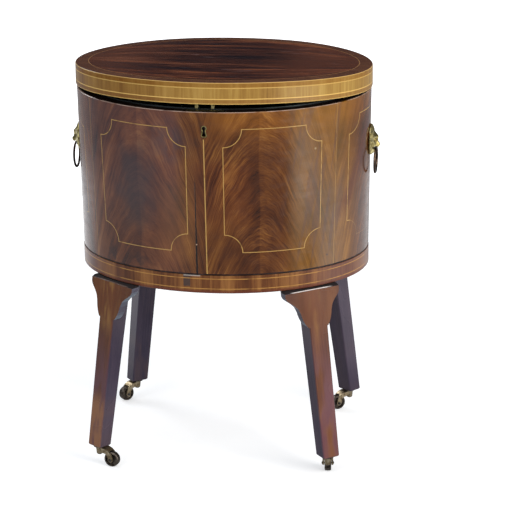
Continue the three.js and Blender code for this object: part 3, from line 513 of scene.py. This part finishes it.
def lid_band_colour(g, x, y, z):
    """Pale crossbanding with four strings, darker above the second of them and below the third, and a painted
    highlight along its top arris.
    """
    along = oval_place(g, x, y)
    drop = LID_TOP - z
    colour, grain = crossbanding(g, along, z, 3.0, LID_BAND_TONES, 0.34)
    outer = g.fall(drop, 0.0094, 0.0099) + g.step(drop, 0.0289, 0.0294)
    colour = g.mix(outer * 0.5, colour, (0.22, 0.095, 0.022))
    age = g.noise(g.vector(along * 6.0, z * 20.0, 8.0), detail=3.0)
    left = g.fall(along, -0.16, 0.12)
    colour = g.mix(left * 0.6 + age * 0.3, colour, (0.6, 0.44, 0.28), "MULTIPLY")
    strings = g.largest(*[g.line(drop - string_drop, LID_STRING) for string_drop in LID_STRING_DROPS])
    colour = g.mix(strings * 0.95, colour, (0.64, 0.4, 0.11))
    # A painted highlight along the band's top arris, broken up by noise
    arris = g.fall(drop, 0.0005, 0.0009) * g.step(age, 0.3, 0.5, 0.4, 1.0)
    colour = g.mix(arris * 0.8, colour, (0.8, 0.66, 0.42))
    return colour, grain - strings * 0.3


def lid_band(g):
    x, y, z = closed_lid_place(g)
    colour, height = lid_band_colour(g, x, y, z)
    core = g.fall(oval_reach(g, x, y, LID_HALF_LENGTH, LID_HALF_DEPTH), *CORE_SHARES)
    colour = g.mix(core, colour, (0.03, 0.015, 0.009))
    g.surface(colour, 0.3, specular=0.3, height=height, depth=0.00006)


def lid_field(g, x, y):
    """Dark streaked mahogany, darkest along the middle, with streaks that draw together towards the ends."""
    side = x / LID_HALF_LENGTH
    narrowing = g.math("SQRT", 1.12 - side * side)
    drift = g.noise(g.vector(x * 6.0, y * 11.0, 1.0), detail=4.0) - 0.5
    across = y / narrowing + drift * 0.03
    broad = g.noise(g.vector(x * 3.5, across * 26.0, 2.0), detail=2.0)
    streak = g.noise(g.vector(x * 9.0, across * 110.0, 3.0), detail=3.0, roughness=0.62)
    fibre = g.noise(g.vector(x * 45.0, across * 650.0, 4.0), detail=2.0)
    colour = g.ramp(broad * 0.4 + streak * 0.42 + fibre * 0.18, LID_FIELD_TONES)
    inner = g.step(g.absolute(across - 0.01), 0.02, 0.12, 0.7, 0.0)
    colour = g.mix(inner, colour, (0.5, 0.5, 0.72), "MULTIPLY")
    ends = g.step(g.absolute(x + 0.01), 0.06, 0.19)
    colour = g.mix(ends * 0.6, colour, (0.1, 0.034, 0.017), "SCREEN")
    return colour, streak * 0.5 + fibre * 0.5


def lid_top(g):
    """The lid's field in a crossbanded border, with the colour of the lid's band on the board's edge."""
    x, y, z = closed_lid_place(g)
    reach = oval_reach(g, x, y, LID_HALF_LENGTH, LID_HALF_DEPTH)
    steep = oval_reach(g, x, y, LID_HALF_LENGTH**2, LID_HALF_DEPTH**2)
    inset = (1.0 - reach) * reach / (steep + 0.0001)
    field, grain = lid_field(g, x, y)
    border = crossbanding(g, oval_place(g, x, y), inset, 5.0, LID_BORDER_TONES)[0]
    colour = g.mix(g.step(inset, LID_BORDER - 0.0001, LID_BORDER + 0.0001), border, field)
    string = g.line(inset - LID_BORDER, PANEL_STRING)
    colour = g.mix(string * 0.8, colour, (0.4, 0.2, 0.075))

    # Fine scratches along the grain, paler where the polish is broken
    scratch = g.noise(g.vector(x * 12.0, y * 300.0 + x * 30.0, 6.0), detail=1.0)
    region = g.noise(g.vector(x * 11.0, y * 16.0, 7.0), detail=2.0)
    scratched = g.step(scratch, 0.64, 0.74) * g.step(region, 0.5, 0.62)
    colour = g.mix(scratched * 0.6, colour, (0.24, 0.2, 0.21))

    # Below its top face the board shows the band, and plain wood further in
    on_edge = g.fall(z, LID_TOP - 0.001, LID_TOP - 0.0003)
    colour = g.mix(on_edge, colour, lid_band_colour(g, x, y, z)[0])
    plain_grain = g.noise(g.vector(x * 9.0, y * 130.0, 12.0), detail=3.0)
    colour = g.mix(on_edge * g.fall(reach, 0.975, 0.985), colour, g.ramp(plain_grain, LID_CORE_TONES))
    g.surface(colour, 0.24, specular=0.1, height=grain - string * 0.4, depth=0.00003)


def base_band(g):
    """Crossbanding between two broken strings, with a darker replaced piece and, in front, a lifted sliver
    whose pale colour is a painted highlight.
    """
    x, y, z = g.split(g.place())
    along = oval_place(g, x, y)
    colour, grain = crossbanding(g, along, z, 11.0, BASE_BAND_TONES, 0.62)
    sides = g.step(g.absolute(along), 0.12, 0.26)
    colour = g.mix(sides * 0.5, colour, (0.12, 0.05, 0.045))
    darker = g.strip(along, *DARK_PIECE, 0.0006) * g.step(z, 0.358, 0.3595)
    colour = g.mix(darker * 0.85, colour, (0.045, 0.032, 0.03))
    lower = g.fall(z, BAND_FOOT + 0.0035, BAND_FOOT + 0.0065)
    colour = g.mix(lower * 0.75, colour, (0.11, 0.026, 0.014))
    strings = g.largest(*[g.line(z - level, BAND_STRING) for level in BAND_STRING_LEVELS])
    broken = g.step(g.noise(g.vector(along * 30.0, 0.0, 0.0)), 0.38, 0.5, 0.3, 1.0)
    colour = g.mix(strings * broken * 0.85, colour, (0.42, 0.21, 0.05))
    # The lifted sliver is real damage; its pale grey is a painted highlight, the light that the lifted veneer
    # catches
    sliver = g.strip(along, *SLIVER, 0.001) * g.step(z, BAND_TOP - 0.0022, BAND_TOP - 0.0012)
    colour = g.mix(sliver * 0.7, colour, (0.38, 0.34, 0.31))
    core = g.fall(oval_reach(g, x, y, HALF_LENGTH, HALF_DEPTH), *CORE_SHARES)
    colour = g.mix(core, colour, (0.06, 0.03, 0.018))
    g.surface(colour, 0.28, specular=0.28, height=grain - strings * 0.3, depth=0.00006)


def leg_grain(g, x, y, z, seed):
    """Straight-grained wood along a leg; x and y are taken at the leg's own lean."""
    drift = g.noise(g.vector(x * 30.0, y * 30.0, z * 5.0 + seed), detail=2.0) - 0.5
    rings = g.noise(g.vector(x * 70.0 + drift, y * 70.0 + drift, z * 2.6 + seed), detail=3.0, roughness=0.55)
    thread = g.noise(g.vector(x * 420.0, y * 420.0, z * 12.0 + seed), detail=2.0)
    pore = g.noise(g.vector(x * 1500.0, y * 1500.0, z * 60.0 + seed), detail=1.0)
    stain = g.noise(g.vector(x * 8.0, y * 8.0, z * 7.0 + seed + 3.0), detail=2.0)
    colour = g.ramp(rings * 0.45 + thread * 0.25 + stain * 0.3, LEG_TONES)
    pores = g.step(pore, 0.58, 0.7)
    colour = g.mix(pores * 0.34, colour, (0.015, 0.008, 0.006))
    return colour, rings * 0.5 + thread * 0.5 - pores * 0.2, stain


def leg_front(g, colour, sideways, height, patch, stain, looks):
    """Golden streaks at a leg's head, dark outer parts of its ears, a purple below that is painted to stand for
    a bluish reflection, and embers near the foot.
    """
    beside = g.absolute(sideways)
    head = g.step(height, 0.235, 0.3)
    colour = g.mix(head * 0.4, colour, (0.15, 0.046, 0.011))
    gold = head * g.step(patch, 0.42, 0.62) * g.step(beside, 0.005, 0.018, 1.0, 0.2)
    colour = g.mix(gold * looks["gold"], colour, (0.33, 0.17, 0.04))
    tips = g.step(beside, 0.026, 0.046) * g.step(stain, 0.3, 0.55, 1.0, 0.5)
    colour = g.mix(tips * 0.75, colour, (0.05, 0.014, 0.009))
    # Painted reflection: a purple tint below the head that stands for a bluish reflection on the polish
    purple = g.fall(height, 0.14, 0.28) * g.fall(patch, 0.4, 0.7)
    colour = g.mix(purple * 0.85, colour, looks["purple"])
    ember = g.fall(height, 0.11, 0.15) * g.step(patch, 0.36, 0.56)
    return g.mix(ember * looks["ember"], colour, (0.26, 0.115, 0.05))


def leg_wood(g, side_x, side_y, seed):
    """Red-brown in front, with painted shade and a cool painted reflection on the other faces, and a painted
    highlight along the inner ear's side faces.
    """
    looks = LEG_LOOKS[side_x]
    lean_x, lean_y = LEG_LEANS
    out_x, out_y = LEG_OUTWARD
    x, y, height = g.split(g.place())
    leaning = (x + height * (side_x * lean_x), y + height * (side_y * lean_y))
    colour, grain, stain = leg_grain(g, *leaning, height, seed)
    sideways = x * (side_x * out_y) - y * (side_y * out_x) - LEG_MIDDLE
    patch = g.noise(g.vector(sideways * 60.0, height * 14.0, seed + 8.0), detail=2.0)
    colour = leg_front(g, colour, sideways, height, patch, stain, looks)

    # Faces that look away from outward get painted shade: dark wood with a cool tint that stands for a
    # reflection of the floor
    normal = g.out("ShaderNodeNewGeometry", "True Normal")
    facing = {0: normal, 1: (side_x * out_x, side_y * out_y, 0)}
    painted_shade_faces = g.fall(g.out("ShaderNodeVectorMath", "Value", facing, operation="DOT_PRODUCT"), 0.5, 0.9)
    side_shade_and_reflection = g.ramp(stain * 0.5 + grain * 0.3, LEG_SHADED_SIDE_TONES)
    colour = g.mix(painted_shade_faces * 0.85, colour, side_shade_and_reflection)
    # A painted highlight on the inner ear's side faces, strongest where they face down: a painted reflection of
    # the floor
    ear = g.fall(sideways, -0.019, -0.016) * g.step(height, 0.27, 0.28)
    edge = ear * painted_shade_faces * (g.fall(g.split(normal)[2], -0.75, -0.3) * 0.8 + 0.2)
    colour = g.mix(edge * 0.8, colour, (0.15, 0.185, 0.23))

    # Above the shoulder the wood is painted nearly black, a painted shadow under the base band, with a painted
    # line along its lower edge: a highlight on the right legs and a shadow on the left ones
    shadowed_ledge = g.step(height, LEG_SHOULDER + 0.0001, LEG_SHOULDER + 0.0003)
    colour = g.mix(shadowed_ledge, colour, (0.012, 0.008, 0.009))
    painted_shoulder_line = shadowed_ledge * g.fall(height, LEG_SHOULDER + 0.0009, LEG_SHOULDER + 0.0013)
    colour = g.mix(painted_shoulder_line * g.between(sideways, -0.052, -0.042, 0.022, 0.038), colour, looks["painted_shoulder_line"])
    roughness = g.step(stain, 0.3, 0.7, 0.16, 0.3) + shadowed_ledge * 0.6
    g.surface(colour, roughness, specular=0.35, height=grain, depth=0.00006)


def divider_wood(g):
    x, y, z = g.split(g.place())
    grain = g.noise(g.vector(x * 12.0, y * 12.0, z * 190.0), detail=3.0)
    g.surface(g.ramp(grain, DIVIDER_TONES), 0.5, specular=0.3, height=grain)


def softwood(g):
    x, y, z = g.split(g.place())
    grain = g.noise(g.vector(x * 6.0, y * 160.0, z * 160.0), detail=3.0)
    stain = g.noise(g.vector(x * 9.0, y * 9.0, z * 9.0), detail=3.0)
    g.surface(g.ramp(grain * 0.6 + stain * 0.4, DEAL_TONES), 0.75, specular=0.2, height=grain, depth=0.0003)


def ebonised(g):
    wear = g.noise(g.place(), scale=90.0, detail=3.0)
    g.surface(g.ramp(wear, EBONY_TONES), 0.4, specular=0.3)


def zinc(g):
    """Clouded sheet, dark along its turned lip."""
    cloud = g.noise(g.place(), scale=22.0, detail=5.0, roughness=0.62)
    fleck = g.noise(g.place(), scale=260.0, detail=3.0)
    lip = g.step(g.split(g.place())[2], WALL_TOP - 0.004, WALL_TOP - 0.001)
    colour = g.mix(lip * 0.85, g.ramp(cloud * 0.75 + fleck * 0.25, ZINC_TONES), (0.03, 0.033, 0.036))
    roughness = g.step(cloud, 0.35, 0.7, 0.32, 0.62)
    g.surface(colour, roughness, metallic=0.75, height=cloud + fleck * 0.3, depth=0.0004)


def aged_metal(g, dark, middle, light, roughness):
    """Cast metal, darker in its tarnish and brighter where it is handled."""
    cloud = g.noise(g.place(), scale=130.0, detail=4.0, roughness=0.6)
    fleck = g.noise(g.place(), scale=900.0, detail=2.0)
    tone = cloud * 0.75 + fleck * 0.25
    colour = g.ramp(tone, ((0.38, dark), (0.5, middle), (0.64, light)))
    rough = g.step(tone, 0.35, 0.65, roughness + 0.16, roughness - 0.06)
    g.surface(colour, rough, metallic=1.0, height=cloud + fleck * 0.4, depth=0.00012)


def metal(name, dark, middle, light, roughness):
    return material(name, aged_metal, dark, middle, light, roughness)


WALL = material("flame_mahogany", wall_veneer)
LID_TOP_VENEER = material("lid_mahogany", lid_top)
LID_BAND = material("lid_crossbanding", lid_band)
BASE_BAND = material("base_crossbanding", base_band)
EBONY = material("ebonised", ebonised)
DIVIDER = material("divider_mahogany", divider_wood)
DEAL = material("deal", softwood)
ZINC = material("zinc_sheet", zinc)
BRASS = metal("brass", (0.2, 0.15, 0.05), (0.55, 0.46, 0.19), (0.8, 0.71, 0.4), 0.32)
CASTER_BRASS = metal("caster_brass", (0.15, 0.11, 0.07), (0.46, 0.36, 0.22), (0.7, 0.6, 0.43), 0.4)
DARK_BRASS = metal("dark_brass", (0.035, 0.028, 0.026), (0.12, 0.098, 0.082), (0.3, 0.265, 0.22), 0.42)
BRONZE = metal("bronze", (0.02, 0.014, 0.01), (0.055, 0.036, 0.026), (0.16, 0.11, 0.08), 0.36)
STEEL = metal("steel", (0.03, 0.027, 0.025), (0.11, 0.1, 0.095), (0.26, 0.25, 0.24), 0.42)

CORNERS = {"front_left": (-1, -1), "front_right": (1, -1), "back_left": (-1, 1), "back_right": (1, 1)}


def soften(node, arris):
    """Rounds a CAD node's shading over its facets, and takes the sharpness off its edges."""
    mesh = node.data
    for name in ("custom_normal", "sharp_edge", "sharp_face"):
        if name in mesh.attributes:
            mesh.attributes.remove(mesh.attributes[name])
    mesh.polygons.foreach_set("use_smooth", [True] * len(mesh.polygons))
    weld = node.modifiers.new("weld", "WELD")
    weld.merge_threshold = WELD_DISTANCE
    bevel = node.modifiers.new("arris", "BEVEL")
    bevel.width = arris
    bevel.segments = 2
    bevel.limit_method = "ANGLE"
    bevel.angle_limit = ROUNDED_ANGLE
    bevel.harden_normals = True
    bevel.use_clamp_overlap = True


def dress(name, look, arris=0.0002):
    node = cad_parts[name]
    node.data.materials.clear()
    node.data.materials.append(look)
    soften(node, arris)


def fill_joints(corner, side_x, side_y, look):
    """Slips of wood that close the grooves between the front of a leg's head and its two ears."""
    out_x, out_y = LEG_OUTWARD
    for side, near, far, lean in SLIPS:
        made = bmesh.new()
        rings = []
        for level, back_rise in ((SLIP_FOOT, 0), (LEG_SHOULDER, SLIP_DEPTH * SLIP_TOP_SLOPE)):
            drop = LEG_SHOULDER - level
            ring = []
            for sideways, inward in ((near, 0), (far, 0), (far, SLIP_DEPTH), (near, SLIP_DEPTH)):
                out = SLIP_FRONT + drop * SLIP_LEAN_OUT - inward
                across = sideways + drop * lean
                place = (
                    side_x * (out_x * out + out_y * across),
                    side_y * (out_y * out - out_x * across),
                    level + (back_rise if inward else 0),
                )
                ring.append(made.verts.new(place))
            rings.append(ring)
        lower, upper = rings
        made.faces.new(lower)
        made.faces.new(upper)
        for i in range(4):
            made.faces.new((lower[i], lower[(i + 1) % 4], upper[(i + 1) % 4], upper[i]))
        bmesh.ops.recalc_face_normals(made, faces=made.faces)
        mesh = bpy.data.meshes.new("leg_fill_" + side + "_" + corner)
        made.to_mesh(mesh)
        made.free()
        slip = bpy.data.objects.new(mesh.name, mesh)
        mesh.materials.append(look)
        bpy.context.scene.collection.objects.link(slip)
        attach(slip, "carcass")


dress("carcass_wall", WALL, 0.0003)
dress("lid_board", LID_TOP_VENEER, 0.0003)
dress("lid_rim", LID_BAND, 0.0003)
dress("base_band", BASE_BAND, 0.0004)
dress("base_bead", EBONY, 0.0003)
dress("bottom_board", DEAL, 0.0005)
dress("liner", ZINC, 0.0004)
for part in ("long_front", "long_back", "cross_far_left", "cross_left", "cross_right", "cross_far_right"):
    dress("divider_" + part, DIVIDER, 0.0006)
for part in ("lock_case", "lock_bolt"):
    dress(part, STEEL)
for part in ("lock_selvedge", "escutcheon", "lid_link_plate", "handle_mask_left", "handle_mask_right"):
    dress(part, BRASS)
for side in ("left", "right"):
    dress("hinge_body_leaf_" + side, BRASS)
    dress("hinge_lid_leaf_" + side, BRASS)
    dress("hinge_pin_" + side, DARK_BRASS)
    dress("handle_ring_" + side, BRONZE)
for seed, (corner, (side_x, side_y)) in enumerate(CORNERS.items()):
    wood = material("leg_mahogany_" + corner, leg_wood, side_x, side_y, seed * 4.3)
    for part in ("leg_", "leg_ear_inner_", "leg_ear_outer_"):
        dress(part + corner, wood, 0.00025)
    fill_joints(corner, side_x, side_y, wood)
    dress("caster_plate_" + corner, DARK_BRASS)
    dress("caster_horn_" + corner, CASTER_BRASS, 0.0004)
    dress("caster_wheel_" + corner, DARK_BRASS)
    dress("caster_axle_" + corner, STEEL)


def aim_camera():
    sine = math.sin(CAMERA_AZIMUTH)
    cosine = math.cos(CAMERA_AZIMUTH)
    flat = math.cos(CAMERA_ELEVATION)
    right = Vector((cosine, sine, 0))
    back = Vector((sine * flat, -cosine * flat, math.sin(CAMERA_ELEVATION)))
    level = Matrix((right, back.cross(right), back)).transposed()
    turned = level @ Matrix.Rotation(CAMERA_ROLL, 3, "Z")
    target = right * CAMERA_ASIDE + Vector((0, 0, CAMERA_TARGET_HEIGHT))
    camera = bpy.data.objects.new("camera", bpy.data.cameras.new("camera"))
    camera.data.lens = CAMERA_LENS
    camera.data.sensor_width = 36
    camera.data.clip_end = 50
    camera.matrix_world = Matrix.Translation(target + back * CAMERA_DISTANCE) @ turned.to_4x4()
    bpy.context.scene.collection.objects.link(camera)
    bpy.context.scene.camera = camera


def soft_lamp(name, place, target, width, height, power, colour):
    lamp = bpy.data.lights.new(name, "AREA")
    lamp.shape = "RECTANGLE"
    lamp.size = width
    lamp.size_y = height
    lamp.energy = power
    lamp.color = colour
    made = bpy.data.objects.new(name, lamp)
    made.location = place
    made.rotation_euler = (Vector(target) - Vector(place)).to_track_quat("-Z", "Y").to_euler()
    bpy.context.scene.collection.objects.link(made)


def kinds_of_ray(g):
    """Three switches, which are 1 for what the camera sees, what gloss mirrors and what shows through glass."""
    rays = g.node("ShaderNodeLightPath")
    names = ("Is Camera Ray", "Is Glossy Ray", "Is Transmission Ray")
    return [Sock(g, rays.outputs[name]) for name in names]


def backdrop():
    """White to the camera, grey as light, and nearly black in gloss but for its foot and high up in front."""
    world = bpy.data.worlds.new("studio")
    world.use_nodes = True
    bpy.context.scene.world = world
    g = Graph(world.node_tree)
    camera_ray, glossy_ray, glass_ray = kinds_of_ray(g)
    forward, height = g.split(g.out("ShaderNodeTexCoord", "Generated"))[1:]
    low = g.step(height, 0.0, 0.05, 0.5, 0.0)
    above = g.step(height, 0.55, 0.75) * g.fall(forward, -0.1, 0.35)
    white = g.largest(camera_ray, glass_ray, glossy_ray * g.largest(low, above))
    grey = g.mix(glossy_ray, (0.5, 0.53, 0.57), (0.025, 0.027, 0.03))
    sky = g.out("ShaderNodeBackground", 0, {"Color": g.mix(white, grey, (1.0, 1.0, 1.0))})
    g.node("ShaderNodeOutputWorld", {"Surface": sky})


def mirrored_light(g, x, y, reach):
    """How bright the floor is in gloss: most to the right and in front there, and less to the left."""
    bearing = g.math("ARCTAN2", y + 0.14, x - 0.18)
    right_half = g.step(x, 0.25, 0.7)
    near = g.step(reach, 1.75, 2.3, 1.0, 0.15)
    right = right_half * g.step(bearing, -0.44, -0.14) * g.step(bearing, -0.05, 0.45, 1.8, 0.75)
    left = g.fall(x, -0.6, -0.15) * (g.step(y, 0.15, 0.7) * 0.6 + 0.35)
    front = right_half * g.step(bearing, -0.8, -0.62) * g.step(bearing, -0.5, -0.15, 2.3, 0.0)
    front = front * g.step(reach, 1.5, 1.85) * g.step(reach, 2.1, 2.6, 1.0, 0.15)
    return (right + left) * near + front + 0.28


def paper_floor(g):
    """White paper that fades into the backdrop, with a look of its own in gloss."""
    camera_ray, glossy_ray, glass_ray = kinds_of_ray(g)
    x, y = g.split(g.place())[:2]
    reach = g.hypot(x, y)
    paper = g.out("ShaderNodeBsdfDiffuse", 0, {"Color": (0.8, 0.8, 0.8, 1.0)})
    brightness = g.largest(camera_ray, glass_ray) * g.step(reach, 0.9, 2.4, 0.42, 1.0)
    glow = g.out("ShaderNodeEmission", 0, {"Color": (1.0, 1.0, 1.0, 1.0), "Strength": brightness})
    both = g.out("ShaderNodeAddShader", 0, {0: paper, 1: glow})
    gloss = {"Color": (0.97, 0.98, 1.0, 1.0), "Strength": mirrored_light(g, x, y, reach)}
    mirrored = g.out("ShaderNodeEmission", 0, gloss)
    seen = g.out("ShaderNodeMixShader", 0, {0: glossy_ray, 1: both, 2: mirrored})
    g.node("ShaderNodeOutputMaterial", {"Surface": seen})


def lay_floor():
    mesh = bpy.data.meshes.new("floor")
    corners = [(x * FLOOR_HALF, y * FLOOR_HALF, 0) for x, y in ((-1, -1), (1, -1), (1, 1), (-1, 1))]
    mesh.from_pydata(corners, [], [(0, 1, 2, 3)])
    floor = bpy.data.objects.new("floor", mesh)
    bpy.context.scene.collection.objects.link(floor)
    floor.data.materials.append(material("floor", paper_floor))


aim_camera()
backdrop()
lay_floor()
for name, values in LAMPS.items():
    soft_lamp(name, *values)

bpy.context.scene.view_settings.view_transform = "Standard"
